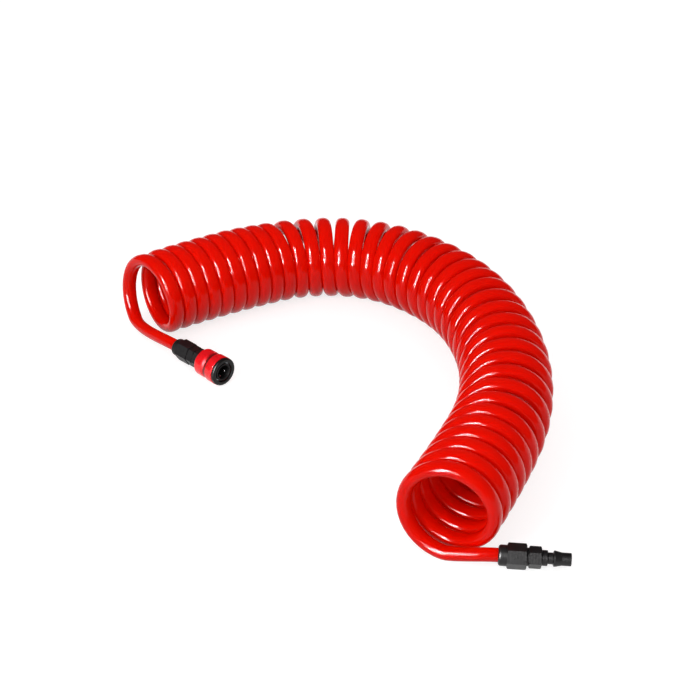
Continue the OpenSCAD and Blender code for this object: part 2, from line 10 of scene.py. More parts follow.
import bpy
import numpy as np
from bpy.props import FloatProperty, FloatVectorProperty, IntProperty, PointerProperty
from mathutils import Matrix


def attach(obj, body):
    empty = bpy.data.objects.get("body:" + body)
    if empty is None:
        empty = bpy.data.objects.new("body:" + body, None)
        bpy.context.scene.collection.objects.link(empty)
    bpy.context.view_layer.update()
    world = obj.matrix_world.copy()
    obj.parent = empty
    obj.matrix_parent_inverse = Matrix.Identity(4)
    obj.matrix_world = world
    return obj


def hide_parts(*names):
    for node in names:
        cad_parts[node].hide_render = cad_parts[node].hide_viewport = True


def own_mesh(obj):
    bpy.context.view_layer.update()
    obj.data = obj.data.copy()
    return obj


bl_info = {
    "name": "Coiled Air Hose",
    "version": (1, 0, 0),
    "blender": (4, 5, 0),
    "location": "3D View > Sidebar > Air Hose",
    "description": "Builds a recoil air hose with its socket and plug",
    "category": "Object",
}

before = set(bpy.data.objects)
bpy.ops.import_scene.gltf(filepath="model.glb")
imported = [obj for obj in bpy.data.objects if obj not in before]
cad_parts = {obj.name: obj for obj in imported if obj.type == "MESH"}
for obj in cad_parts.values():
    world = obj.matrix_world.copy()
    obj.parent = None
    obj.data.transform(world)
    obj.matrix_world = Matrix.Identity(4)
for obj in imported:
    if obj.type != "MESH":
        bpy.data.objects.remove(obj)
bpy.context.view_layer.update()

# Rear face of each hose nut, and the way that each fitting points
SOCKET_AT = np.array([-0.157638, 0.0806138, 0.0151])
SOCKET_RUN = np.array([0.7146773, -0.6994543, 0.0])
PLUG_AT = np.array([0.149679, -0.258066, 0.010])
PLUG_RUN = np.array([0.9946751, -0.10306, 0.0])

# The coil's axis is a chain of arcs that bend to the right, each with its own number of turns.
COIL_HEADING = math.radians(36)
BEND_RADIUS = np.array([0.850, 0.140, 0.220, 0.345, 1.360])
BEND_ANGLE = np.radians([10, 65, 32, 40, 5])
BEND_TURNS = np.array([9.5, 8, 5.75, 9.75, 6])
TURNS_BEFORE = np.concatenate([[0], np.cumsum(BEND_TURNS)])
COIL_TURNS = float(TURNS_BEFORE[-1])
# Turns that have the whole of the swell. It falls away over as many more.
SWELL_TURNS = 6
# Share of a turn between the two points that give the hose's way at an end of the coil
NEAR_TURN = 0.01

# From the coil's foot to the end of the socket's straight stretch: how far along the hose, past
# one diameter, and how far to its left
SOCKET_LEAD = (0.0483, 0.01485)
# How far the frame's hose stands straight out of a nut, and how deep it goes in
STAND_OUT = 0.004
HOSE_DEPTH = 0.014
# Share of the first turn that the socket's lead cuts short
LEAD_TURN = 0.09
# Spacing of a lead's points, and its slope at the coil as a share of the distance to the nut
LEAD_STEP = 0.0012
LEAD_SLOPE = 0.6

# The bore's rings stand at every fourth point of the hose, 16 points or about 19 mm deep.
BORE_POINTS = np.arange(0, 17, 4)
# Points on each side of the coil's ends over which the wound section comes on
EASE_POINTS = 16
# Half the way round the hose
HALF_GIRTH = 0.0196

# Where the barrel starts and the sleeve's spring stands, along the socket from its nut's rear
BARREL_Z = 0.0439
SLEEVE_SPRING_LENGTH = 0.011
SLEEVE_SPRING_RADIUS = 0.0103
VALVE_SPRING_RADIUS = 0.0046
# Points of a spring's wire in each turn, and faces round the wire
WIRE_POINTS = 28
WIRE_SIDES = 12
# Inside of the release sleeve, as radius and place along the socket, from the shoulder that
# the front guard sits against back to the rear face. The ramp lets the locking balls out.
SLEEVE_INSIDE = np.array([[0.0119, 0.0691], [0.0119, 0.0714], [0.01075, 0.0714],
                          [0.01075, 0.0699183], [0.0094, 0.0652452], [0.0094, 0.0549],
                          [0.0113, 0.0549], [0.0113, 0.0419]])
# Outside of the release sleeve: how much its shoulder falls for a length forwards, how far
# before its foot the shoulder is rounded, how far the groove's front wall leans back, and the
# roundings of the rear edge, the shoulder's top, its foot and the band's two edges
SHOULDER_FALL = 0.4
FOOT_BACK = 0.0005
WALL_LEAN = 0.0006
REAR_ROUND, SHOULDER_ROUND, FOOT_ROUND = 0.0022, 0.0012, 0.0003
BAND_REAR_ROUND, BAND_FRONT_ROUND = 0.0007, 0.0008

# Tool marks 2.5 mm apart, coarser than real so that they show. The bands of a Wave Texture are
# 2 pi / (20 Scale) apart.
MARK_SCALE = 125.0

# The floor runs this far each way, and lies this far below the part.
FLOOR_REACH = 38.0
FLOOR_DROP = 0.0002
# Each lamp: its name, the setting of its power, its width and height, its distance from the
# part, the way to it, and the rays that don't show it
SOFT_BOX_WAY = (-0.536, -0.712, 0.454)
LAMPS = (
    ("key_light", "key_power", (0.54, 0.85), 2.2, SOFT_BOX_WAY, "glossy"),
    ("top_light", "top_power", (1.0, 1.0), 2.4, (-0.5, -0.5, 0.7), "glossy"),
    ("fill_light", "fill_power", (1.2, 1.2), 2.4, (0.33, -0.87, 0.37), "glossy"),
    ("glint_light", "glint_power", (0.6, 1.7), 2.2, SOFT_BOX_WAY, "diffuse"),
    ("strip_light", "strip_power", (0.35, 1.0), 2.2, (-0.312, -0.835, 0.454), "diffuse"),
)


def linear(hex_colour):
    """sRGB hex to linear RGBA."""
    part = np.array([int(hex_colour[i:i + 2], 16) for i in (1, 3, 5)]) / 255
    part = np.where(part <= 0.04045, part / 12.92, ((part + 0.055) / 1.055) ** 2.4)
    return (*(float(x) for x in part), 1.0)


def colour_property(name, description, hex_colour):
    return FloatVectorProperty(name=name, description=description, subtype="COLOR", size=4,
                               min=0, max=1, default=linear(hex_colour))


class HoseSizes(bpy.types.PropertyGroup):
    hose_diameter: FloatProperty(
        name="Hose diameter", description="Outer diameter of the hose",
        default=0.0125, min=0.004, unit="LENGTH", precision=4)
    hose_bore: FloatProperty(
        name="Hose bore", description="Bore of the hose",
        default=0.0085, min=0.002, unit="LENGTH", precision=4)
    coil_at_socket: FloatProperty(
        name="Coil at socket", description="Outer diameter of the coil at the socket end",
        default=0.085, min=0.03, unit="LENGTH", precision=4)
    coil_at_plug: FloatProperty(
        name="Coil at plug", description="Outer diameter of the coil at the plug end",
        default=0.093, min=0.03, unit="LENGTH", precision=4)
    swell: FloatProperty(
        name="Swell at socket", description="How much further out the first turns are wound",
        default=0.0022, min=0, unit="LENGTH", precision=4)
    first_opening: FloatProperty(
        name="First turn", description="How far the first turn stands clear of the pack",
        default=0.012, min=0, unit="LENGTH", precision=4)
    last_opening: FloatProperty(
        name="Last turn", description="How far the last turn stands clear of the pack",
        default=0.001, min=0, unit="LENGTH", precision=4)
    wound_press: FloatProperty(
        name="Press", description="Width of the wound hose along the coil's axis, as a share of "
        "the spacing of the turns on the inside of a bend, where they press together",
        default=1.08, min=0.5)
    wound_width: FloatProperty(
        name="Widest, wound", description="Greatest width of the wound hose along the coil's "
        "axis", default=0.0165, min=0.004, unit="LENGTH", precision=4)
    wound_height: FloatProperty(
        name="Height, wound", description="Height of the wound hose, out from the coil's axis",
        default=0.0122, min=0.004, unit="LENGTH", precision=4)
    wound_square: FloatProperty(
        name="Squareness", description="Power of the wound section: 2 is an ellipse, and more "
        "is flatter at the crest", default=2.2, min=2)
    rest_flat: FloatProperty(
        name="Flat", description="Depth of the flat along the underside of the coil",
        default=0.00125, min=0, unit="LENGTH", precision=5)
    rings_per_turn: IntProperty(
        name="Rings", description="Rings of the tube's surface in each turn of the coil",
        default=40, min=12, max=96)
    sides: IntProperty(
        name="Sides", description="Faces round the hose", default=32, min=12, max=64)
    sleeve_wire: FloatProperty(
        name="Sleeve spring wire", description="Wire of the sleeve's spring",
        default=0.0011, min=0.0002, unit="LENGTH", precision=5)
    sleeve_turns: FloatProperty(
        name="Sleeve spring turns", description="Turns of the sleeve's spring",
        default=4.5, min=1)
    valve_wire: FloatProperty(
        name="Valve spring wire", description="Wire of the valve's spring",
        default=0.0008, min=0.0002, unit="LENGTH", precision=5)
    valve_turns: FloatProperty(
        name="Valve spring turns", description="Turns of the valve's spring",
        default=5, min=1)
    grip_radius: FloatProperty(
        name="Sleeve grip", description="Radius of the release sleeve's grip",
        default=0.0143, min=0.013, unit="LENGTH", precision=4)
    groove_radius: FloatProperty(
        name="Sleeve groove", description="Radius at the foot of the sleeve's groove",
        default=0.0129, min=0.0121, unit="LENGTH", precision=4)
    groove_width: FloatProperty(
        name="Groove width", description="Width of the sleeve's groove",
        default=0.0034, min=0.001, unit="LENGTH", precision=4)
    band_radius: FloatProperty(
        name="Sleeve band", description="Radius of the sleeve's front band",
        default=0.0151, min=0.013, unit="LENGTH", precision=4)
    band_length: FloatProperty(
        name="Band length", description="Length of the sleeve's front band",
        default=0.0096, min=0.002, unit="LENGTH", precision=4)


class FinishColours(bpy.types.PropertyGroup):
    hose: colour_property("Hose", "Red of the polyurethane hose", "#EE1000")
    hose_deep: colour_property("Hose, deep", "Red where the hose is denser", "#E30A00")
    black: colour_property("Black", "Black of the anodised fittings", "#171516")
    black_worn: colour_property("Black, rubbed", "Black where hands have rubbed it",
                                "#1F1D1E")
    guard: colour_property("Guard", "Black of the moulded front guard", "#0B0A0A")
    sleeve: colour_property("Sleeve", "Red of the anodised sleeve", "#FB0214")
    sleeve_deep: colour_property("Sleeve, deep", "Red in the sleeve's turning marks",
                                 "#EC0210")
    spring: colour_property("Springs", "Steel of the springs and the stop ring", "#9A9DA1")
    ball: colour_property("Balls", "Steel of the locking balls", "#C9CBCD")
    brass: colour_property("Valve", "Brass of the valve", "#7D6233")
    rubber: colour_property("Seals", "Rubber of the seals", "#121212")
    floor: colour_property("Floor", "Colour of the floor under its glow", "#A9A8A8")


class StageSettings(bpy.types.PropertyGroup):
    camera_place: FloatVectorProperty(
        name="Camera", description="Place of the camera", subtype="TRANSLATION",
        unit="LENGTH", default=(0.026355, -1.309335, 0.847584))
    camera_tilt: FloatProperty(
        name="Camera tilt", description="How far the camera looks down",
        default=math.radians(32.173), unit="ROTATION")
    camera_turn: FloatProperty(
        name="Camera turn", description="How far the camera is turned to the left",
        default=math.radians(0.122), unit="ROTATION")
    lens: FloatProperty(name="Lens", description="Focal length on a 36 mm sensor",
                        default=80.13, min=10, unit="CAMERA")
    shift_x: FloatProperty(name="Shift X", description="Camera shift to the side",
                           default=-0.00231)
    shift_y: FloatProperty(name="Shift Y", description="Camera shift upwards",
                           default=0.04389)
    key_power: FloatProperty(name="Key light", description="Power of the soft box in front, "
                             "to the left", default=13.5, min=0, unit="POWER")
    glint_power: FloatProperty(name="Glint light", description="Power of the soft box as "
                               "reflections show it", default=430, min=0, unit="POWER")
    strip_power: FloatProperty(name="Strip light", description="Power of the narrow lamp "
                               "beside the soft box, which only reflections show",
                               default=36, min=0, unit="POWER")
    top_power: FloatProperty(name="Top light", description="Power of the light from above",
                             default=5, min=0, unit="POWER")
    fill_power: FloatProperty(name="Fill light", description="Power of the low light from "
                              "the right", default=5, min=0, unit="POWER")
    world_level: FloatProperty(name="World", description="Level of the light all round",
                               default=0.68, min=0)
    world_gloss: FloatProperty(name="World in reflections", description="Share of the world's "
                               "level that reflections show", default=0.1, min=0)
    floor_glow: FloatProperty(name="Floor glow", description="Light that the floor adds "
                              "where it is seen, directly, through glass or in a reflection",
                              default=0.78, min=0)


class HoseSettings(bpy.types.PropertyGroup):
    sizes: PointerProperty(type=HoseSizes)
    colours: PointerProperty(type=FinishColours)
    stage: PointerProperty(type=StageSettings)


# ---- Shapes ----
def unit(v):
    """Vectors brought to length 1."""
    return v / np.linalg.norm(v, axis=-1, keepdims=True)


def along(line):
    """Length of the line up to each of its points."""
    return np.concatenate([[0], np.cumsum(np.linalg.norm(np.diff(line, axis=0), axis=1))])


def averaged(values, reach):
    """Mean of each value with reach values on each side. The end values go on past the ends."""
    count = 2 * reach + 1
    return np.convolve(np.pad(values, reach, mode="edge"), np.ones(count) / count, mode="valid")


def bend_at(turn):
    """Number of the bend that each turn of the coil is in."""
    return np.clip(np.searchsorted(TURNS_BEFORE, turn, side="right") - 1, 0,
                   len(BEND_TURNS) - 1)


def axis_of_coil(turn):
    """Place and heading of the coil's axis at each turn. On an arc of radius R whose heading
    falls from h0 to h, x grows by R (sin h0 - sin h) and y by R (cos h - cos h0)."""
    ends = COIL_HEADING - np.concatenate([[0], np.cumsum(BEND_ANGLE)])
    steps = BEND_RADIUS[:, None] * np.stack(
        [np.sin(ends[:-1]) - np.sin(ends[1:]), np.cos(ends[1:]) - np.cos(ends[:-1])], axis=1)
    starts = np.concatenate([[[0, 0]], np.cumsum(steps, axis=0)])
    i = bend_at(turn)
    h = ends[i] - BEND_ANGLE[i] * (turn - TURNS_BEFORE[i]) / BEND_TURNS[i]
    x = starts[i, 0] + BEND_RADIUS[i] * (np.sin(ends[i]) - np.sin(h))
    y = starts[i, 1] + BEND_RADIUS[i] * (np.cos(h) - np.cos(ends[i]))
    return x, y, h


def coil_points(turn, sizes):
    """Middle of the hose at each turn t, and the way out from the coil's axis there: the axis
    point plus the winding radius times (sin 360t to the left, -cos 360t up). The swell at the
    socket's end falls away as 1 - 3f^2 + 2f^3. The first turn opens along the axis by the
    square of 1 - t, and the last by the square of what is past its start."""
    turn = np.asarray(turn, float)
    x, y, h = axis_of_coil(turn)
    r = sizes.hose_diameter / 2
    winding = (sizes.coil_at_socket + (sizes.coil_at_plug - sizes.coil_at_socket)
               * turn / COIL_TURNS) / 2 - r
    fall = np.clip(turn / SWELL_TURNS - 1, 0, 1)
    winding = winding + sizes.swell * (1 - fall**2 * (3 - 2 * fall))
    opening = (-sizes.first_opening * np.clip(1 - turn, 0, None) ** 2
               + sizes.last_opening * np.clip(turn - COIL_TURNS + 1, 0, None) ** 2)
    round_axis = 2 * np.pi * turn
    out = np.stack([-np.sin(round_axis) * np.sin(h), np.sin(round_axis) * np.cos(h),
                    -np.cos(round_axis)], axis=1)
    centre = np.stack([x + opening * np.cos(h), y + opening * np.sin(h),
                       r - sizes.rest_flat + winding], axis=1)
    return centre + winding[:, None] * out, out


def pressed_width(turn, sizes):
    """Width of the wound hose along the coil's axis: a share of the spacing of the turns on
    the inside of the bend, which is the arc's length for a turn times (R - winding) / R. It is
    averaged over a turn on each side."""
    winding = (sizes.coil_at_socket + sizes.coil_at_plug) / 4 - sizes.hose_diameter / 2
    spacing = BEND_ANGLE * (BEND_RADIUS - winding) / BEND_TURNS
    width = np.clip(sizes.wound_press * spacing[bend_at(turn)], sizes.hose_diameter,
                    sizes.wound_width)
    return averaged(width, sizes.rings_per_turn)


def level_run(end, further_in):
    """Level way out of the coil at an end, from a point a little further in."""
    return unit((end - further_in) * [1, 1, 0])


def lead_curve(coil_end, coil_run, nut_at, nut_run):
    """Points of a lead from the coil to a nut, on the cubic that leaves along coil_run with
    LEAD_SLOPE times the distance as its slope, and meets nut_run with the whole of it. It
    eases the bends of the frame's lead."""
    gap = np.linalg.norm(nut_at - coil_end)
    u = np.linspace(0, 1, round(gap / LEAD_STEP) + 1)[:, None]
    return ((2 * u**3 - 3 * u**2 + 1) * coil_end
            + (u**3 - 2 * u**2 + u) * gap * LEAD_SLOPE * coil_run
            + (3 * u**2 - 2 * u**3) * nut_at + (u**3 - u**2) * gap * nut_run)


def hose_route(sizes):
    """Middle of the whole hose, from inside the socket's nut to inside the plug's nut. With it,
    for each point: a way across, which is out from the axis on the coil and turns to down on
    the leads, 1 where the hose is wound or 0 where it isn't, and its width if wound."""
    near, _ = coil_points([0, NEAR_TURN, COIL_TURNS - NEAR_TURN, COIL_TURNS], sizes)
    out_start, out_end = level_run(near[0], near[1]), level_run(near[3], near[2])
    # The coil stands where the frame's lead brings it, as measured from the socket's nut.
    left = np.array([-out_start[1], out_start[0], 0])
    lead_end = (near[0] + (sizes.hose_diameter + SOCKET_LEAD[0]) * out_start
                + SOCKET_LEAD[1] * left)
    move = (SOCKET_AT - STAND_OUT * SOCKET_RUN - lead_end) * [1, 1, 0]
    # Points inside a nut, from the hose's cut end to 1 mm from the nut's rear face
    inside = np.linspace(HOSE_DEPTH, 0.001, 12)[:, None]
    cut, cut_out = coil_points([LEAD_TURN, LEAD_TURN + NEAR_TURN], sizes)
    lead = lead_curve(cut[0] + move, unit(cut[0] - cut[1]), SOCKET_AT, SOCKET_RUN)[::-1]
    first = np.concatenate([SOCKET_AT + inside * SOCKET_RUN, lead[:-1]])
    last = np.concatenate([lead_curve(near[3] + move, out_end, PLUG_AT, PLUG_RUN)[1:],
                           PLUG_AT + inside[::-1] * PLUG_RUN])
    turn = np.linspace(LEAD_TURN, COIL_TURNS, round(COIL_TURNS * sizes.rings_per_turn) + 1)
    coil, out = coil_points(turn, sizes)
    line = np.concatenate([first, coil + move, last])
    # The way across turns evenly from down, at the socket's nut, to the coil's own.
    down = np.array([0, 0, -1.0])
    turned = np.concatenate([np.zeros(len(inside)), np.arange(1, len(lead)) / len(lead)])
    turned = turned[:, None]
    side = np.concatenate([unit((1 - turned) * down + turned * cut_out[0]), out,
                           np.broadcast_to(down, last.shape)])
    wound = np.pad(np.ones(len(coil)), (len(first), len(last)))
    width = np.pad(pressed_width(turn, sizes), (len(first), len(last)), mode="edge")
    return line, side, wound, width


def mesh_piece(name, points, quads, uv=None, smooth_under=math.radians(50)):
    """Object with those points and faces. Edges sharper than smooth_under stay sharp."""
    mesh = bpy.data.meshes.new(name)
    mesh.from_pydata(points.reshape(-1, 3).tolist(), [], [q.tolist() for q in quads])
    if uv is not None:
        corner = np.zeros(len(mesh.loops), np.int32)
        mesh.loops.foreach_get("vertex_index", corner)
        layer = mesh.uv_layers.new(name="along_and_round")
        layer.uv.foreach_set("vector", uv.reshape(-1, 2)[corner].astype(np.float32).ravel())
    mesh.shade_smooth()
    mesh.set_sharp_from_angle(angle=smooth_under)
    mesh.validate()
    obj = bpy.data.objects.new(name, mesh)
    bpy.context.scene.collection.objects.link(obj)
    return obj


def tube(centre, run, across, radius, sides, power=2.0):
    """Rings of points round centre: centre plus the first radius times cos a across, plus the
    second radius times sin a along the third way, for a going once round. With a power over 2
    the cosine and the sine are raised to 2 / power and keep their signs."""
    across = unit(across - (across * run).sum(axis=1, keepdims=True) * run)
    third = np.cross(run, across)
    a = 2 * np.pi * np.arange(sides) / sides
    radius = np.broadcast_to(np.asarray(radius, float), (len(centre), 2))
    flatten = 2 / np.broadcast_to(np.asarray(power, float), len(centre))[:, None]
    cosine = np.sign(np.cos(a)) * np.abs(np.cos(a)) ** flatten
    sine = np.sign(np.sin(a)) * np.abs(np.sin(a)) ** flatten
    return (centre[:, None] + (radius[:, :1] * cosine)[..., None] * across[:, None]
            + (radius[:, 1:] * sine)[..., None] * third[:, None])


def tube_faces(rings, sides):
    """Quads between neighbouring rings, wound to face outwards when the rings follow their
    run, and one face over each end."""
    i, k = np.meshgrid(np.arange(rings - 1), np.arange(sides), indexing="ij")
    a, b = i * sides + k, i * sides + (k + 1) % sides
    walls = np.stack([a, b, b + sides, a + sides], axis=-1).reshape(-1, 4)
    caps = [np.arange(sides)[::-1], (rings - 1) * sides + np.arange(sides)]
    return [*walls, *caps]


def rounded(corner, from_way, to_way, radius, steps=6):
    """Points of a curve that rounds a corner of a profile: from corner - radius from_way to
    corner + radius to_way, on the parabola whose middle control point is the corner."""
    u = np.linspace(0, 1, steps)[:, None]
    return np.asarray(corner) - radius * (1 - u) ** 2 * from_way + radius * u**2 * to_way


def turned_piece(name, profile, at, run, segments=96):
    """Closed profile of radius and place along the run, turned once round it: at + place run
    + radius (cos a to the side + sin a up)."""
    side = unit(np.cross([0, 0, 1.0], run))
    up = np.cross(run, side)
    a = 2 * np.pi * np.arange(segments) / segments
    out = np.cos(a)[:, None] * side + np.sin(a)[:, None] * up
    points = at + profile[:, None, 1:] * run + profile[:, None, :1] * out
    i, k = np.meshgrid(np.arange(len(profile)), np.arange(segments), indexing="ij")
    j, m = (i + 1) % len(profile), (k + 1) % segments
    quads = np.stack([i * segments + k, i * segments + m, j * segments + m, j * segments + k],
                     axis=-1).reshape(-1, 4)
    return mesh_piece(name, points, list(quads), smooth_under=math.radians(32))


def spring_piece(name, at, run, radius, wire, turns, length):
    """Round wire wound at a radius round the run: the wire's middle climbs evenly over the
    turns, and both ends are ground flat."""
    side = unit(np.cross([0, 0, 1.0], run))
    up = np.cross(run, side)
    t = np.linspace(0, turns, round(turns * WIRE_POINTS) + 1)
    out = np.cos(2 * np.pi * t)[:, None] * side + np.sin(2 * np.pi * t)[:, None] * up
    climb = wire / 2 + (length - wire) * t / turns
    line = at + climb[:, None] * run + radius * out
    rings = tube(line, unit(np.gradient(line, axis=0)), out, wire / 2, WIRE_SIDES)
    height = np.clip((rings - at) @ run, 0, length)
    rings += (height - (rings - at) @ run)[..., None] * run
    return mesh_piece(name, rings, tube_faces(len(t), WIRE_SIDES))


# ---- Finishes ----
def add_node(tree, kind, settings=(), **inputs):
    """Adds a node, sets its settings, and fills its inputs. An input is named with _ for a
    space, or with i and its number, and takes a value or another node's output."""
    node = tree.nodes.new(kind)
    for key, value in dict(settings).items():
        setattr(node, key, value)
    for key, value in inputs.items():
        socket = node.inputs[int(key[1:]) if key[1:].isdigit() else key.replace("_", " ")]
        if isinstance(value, bpy.types.NodeSocket):
            tree.links.new(value, socket)
        else:
            socket.default_value = value
    return node


def new_finish(name):
    """Material with its output and its surface shader, and its coordinates node."""
    material = bpy.data.materials.new(name)
    material.use_nodes = True
    tree = material.node_tree
    tree.nodes.clear()
    shader = add_node(tree, "ShaderNodeBsdfPrincipled")
    add_node(tree, "ShaderNodeOutputMaterial", Surface=shader.outputs[0])
    return material, tree, shader, add_node(tree, "ShaderNodeTexCoord")


def link(tree, output, node, name):
    tree.links.new(output, node.inputs[name])


def toned(colour, share):
    """A colour made darker or lighter by a share."""
    return (*(share * part for part in colour[:3]), 1.0)


def polyurethane_hose(colours):
    """Extruded polyurethane tube: clear-bodied plastic with a melt-smooth skin. It gives the
    eye a deep even red, wet-looking white lights, and a faint glow where light passes
    through the wall."""
    material, tree, shader, place = new_finish("Extruded_polyurethane_red")
    # Clouds in the pigment, about 30 mm across
    cloud = add_node(tree, "ShaderNodeTexNoise", Vector=place.outputs["Object"], Scale=33.0,
                     Detail=2.0, Roughness=0.5)
    red = add_node(tree, "ShaderNodeMix", {"data_type": "RGBA"}, i0=cloud.outputs["Fac"],
                   i6=tuple(colours.hose), i7=tuple(colours.hose_deep))
    link(tree, red.outputs[2], shader, "Base Color")
    # Draw lines of the die, one every 0.8 mm round the hose and long along it
    stretch = add_node(tree, "ShaderNodeMapping", Vector=place.outputs["UV"],
                       Scale=(18.0, 1250.0, 1.0))
    lines = add_node(tree, "ShaderNodeTexNoise", Vector=stretch.outputs[0], Scale=1.0,
                     Detail=1.0)
    # Dust and scuffs, about 6 mm across, that dull the gloss a little
    scuff = add_node(tree, "ShaderNodeTexNoise", Vector=place.outputs["Object"], Scale=160.0,
                     Detail=4.0, Roughness=0.6)
    dull = add_node(tree, "ShaderNodeMapRange", Value=scuff.outputs["Fac"], From_Min=0.45,
                    From_Max=0.8, To_Min=0.1, To_Max=0.16)
    link(tree, dull.outputs[0], shader, "Roughness")
    relief = add_node(tree, "ShaderNodeBump", Strength=0.06, Distance=0.0002,
                      Height=lines.outputs["Fac"])
    link(tree, relief.outputs[0], shader, "Normal")
    shader.inputs["IOR"].default_value = 1.5
    shader.inputs["Specular IOR Level"].default_value = 0.12
    shader.inputs["Subsurface Weight"].default_value = 0.3
    shader.inputs["Subsurface Radius"].default_value = (1.0, 0.12, 0.05)
    shader.inputs["Subsurface Scale"].default_value = 0.006
    return material


def turned_metal(name, main, second, at, run, metallic, roughness, relief_strength,
                 specular, coat=0.0, groove=None):
    """Anodised bar, turned and milled: fine rings round its axis from the tool, and a colour
    that the anodic layer holds. A groove gives its radius and the depth of the shade painted
    into its foot."""
    material, tree, shader, place = new_finish(name)
    # Turns the pattern so that its Z runs along the fitting
    tilt = math.asin(run[2])
    azimuth = math.atan2(run[1], run[0])
    upright = add_node(tree, "ShaderNodeMapping", {"vector_type": "TEXTURE"},
                       Vector=place.outputs["Object"], Location=tuple(at),
                       Rotation=(0, math.pi / 2 - tilt, azimuth))
    rings = add_node(tree, "ShaderNodeTexWave",
                     {"wave_type": "BANDS", "bands_direction": "Z"},
                     Vector=upright.outputs[0], Scale=MARK_SCALE, Distortion=1.5,
                     Detail=2.0, Detail_Scale=2.0)
    # Grain of the etched skin, about 1 mm across, drawn coarser than real so that it shows
    grain = add_node(tree, "ShaderNodeTexNoise", Vector=place.outputs["Object"],
                     Scale=900.0, Detail=3.0)
    # Patches rubbed by hands, about 8 mm across
    rub = add_node(tree, "ShaderNodeTexNoise", Vector=place.outputs["Object"], Scale=120.0,
                   Detail=3.0)
    share = add_node(tree, "ShaderNodeMapRange", Value=rub.outputs["Fac"], From_Min=0.4,
                     From_Max=0.75, To_Min=0.0, To_Max=1.0)
    tone = add_node(tree, "ShaderNodeMix", {"data_type": "RGBA"}, i0=share.outputs[0],
                    i6=tuple(main), i7=tuple(second))
    colour = tone.outputs[2]
    if groove:
        # Painted shade: the foot of the groove is darkened, and less so the further out.
        foot, depth = groove
        off_axis = add_node(tree, "ShaderNodeVectorMath", {"operation": "MULTIPLY"},
                            i0=upright.outputs[0], i1=(1.0, 1.0, 0.0))
        radius = add_node(tree, "ShaderNodeVectorMath", {"operation": "LENGTH"},
                          i0=off_axis.outputs[0])
        painted_shade_factor = add_node(tree, "ShaderNodeMapRange", Value=radius.outputs["Value"],
                         From_Min=foot, From_Max=foot + depth, To_Min=0.08, To_Max=1.0)
        painted_groove_shade = add_node(tree, "ShaderNodeVectorMath", {"operation": "SCALE"},
                         i0=colour, Scale=painted_shade_factor.outputs[0])
        colour = painted_groove_shade.outputs[0]
    link(tree, colour, shader, "Base Color")
    dull = add_node(tree, "ShaderNodeMapRange", Value=grain.outputs["Fac"], From_Min=0.3,
                    From_Max=0.7, To_Min=roughness * 0.85, To_Max=roughness * 1.15)
    link(tree, dull.outputs[0], shader, "Roughness")
    relief = add_node(tree, "ShaderNodeBump", Strength=relief_strength, Distance=0.0001,
                      Height=rings.outputs["Fac"])
    link(tree, relief.outputs[0], shader, "Normal")
    shader.inputs["Metallic"].default_value = metallic
    shader.inputs["Specular IOR Level"].default_value = specular
    shader.inputs["Coat Weight"].default_value = coat
    shader.inputs["Coat Roughness"].default_value = 0.06
    return material


def plain_metal(name, colour, roughness, grain_per_metre, relief_strength=0.05):
    """Bare metal, drawn, ground or turned: its own colour, with a grain of under 1 mm, drawn
    coarser than real so that it shows."""
    material, tree, shader, place = new_finish(name)
    grain = add_node(tree, "ShaderNodeTexNoise", Vector=place.outputs["Object"],
                     Scale=grain_per_metre, Detail=3.0)
    tone = add_node(tree, "ShaderNodeMix", {"data_type": "RGBA"}, i0=grain.outputs["Fac"],
                    i6=tuple(colour), i7=toned(colour, 0.8))
    link(tree, tone.outputs[2], shader, "Base Color")
    dull = add_node(tree, "ShaderNodeMapRange", Value=grain.outputs["Fac"], From_Min=0.3,
                    From_Max=0.7, To_Min=roughness * 0.8, To_Max=roughness * 1.2)
    link(tree, dull.outputs[0], shader, "Roughness")
    relief = add_node(tree, "ShaderNodeBump", Strength=relief_strength, Distance=0.0001,
                      Height=grain.outputs["Fac"])
    link(tree, relief.outputs[0], shader, "Normal")
    shader.inputs["Metallic"].default_value = 1.0
    return material


def acetal_guard(colours):
    """Black acetal, moulded: a dense near-black with a faint waxy gloss."""
    material, tree, shader, place = new_finish("Moulded_black_acetal")
    # Spark-eroded texture of the mould, about 0.7 mm across
    grain = add_node(tree, "ShaderNodeTexNoise", Vector=place.outputs["Object"], Scale=1400.0,
                     Detail=3.0)
    tone = add_node(tree, "ShaderNodeMix", {"data_type": "RGBA"}, i0=grain.outputs["Fac"],
                    i6=tuple(colours.guard), i7=toned(colours.guard, 1.6))
    link(tree, tone.outputs[2], shader, "Base Color")
    dull = add_node(tree, "ShaderNodeMapRange", Value=grain.outputs["Fac"], From_Min=0.3,
                    From_Max=0.7, To_Min=0.34, To_Max=0.44)
    link(tree, dull.outputs[0], shader, "Roughness")
    relief = add_node(tree, "ShaderNodeBump", Strength=0.05, Distance=0.0001,
                      Height=grain.outputs["Fac"])
    link(tree, relief.outputs[0], shader, "Normal")
    shader.inputs["Specular IOR Level"].default_value = 0.2
    return material


def nitrile_rubber(colours):
    """Nitrile rubber, moulded: a dark matt skin with fine pores."""
    material, tree, shader, place = new_finish("Moulded_nitrile_rubber")
    # Pores about 0.4 mm across
    pores = add_node(tree, "ShaderNodeTexNoise", Vector=place.outputs["Object"], Scale=2500.0,
                     Detail=2.0)
    dull = add_node(tree, "ShaderNodeMapRange", Value=pores.outputs["Fac"], To_Min=0.55,
                    To_Max=0.8)
    link(tree, dull.outputs[0], shader, "Roughness")
    relief = add_node(tree, "ShaderNodeBump", Strength=0.1, Distance=0.0001,
                      Height=pores.outputs["Fac"])
    link(tree, relief.outputs[0], shader, "Normal")
    shader.inputs["Base Color"].default_value = tuple(colours.rubber)
    return material


def finish_nodes(material, *names):
    """Puts a finish on solids of the frame."""
    for name in names:
        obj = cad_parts[name]
        if not obj.material_slots:
            obj.data.materials.append(material)
        for slot in obj.material_slots:
            slot.material = material


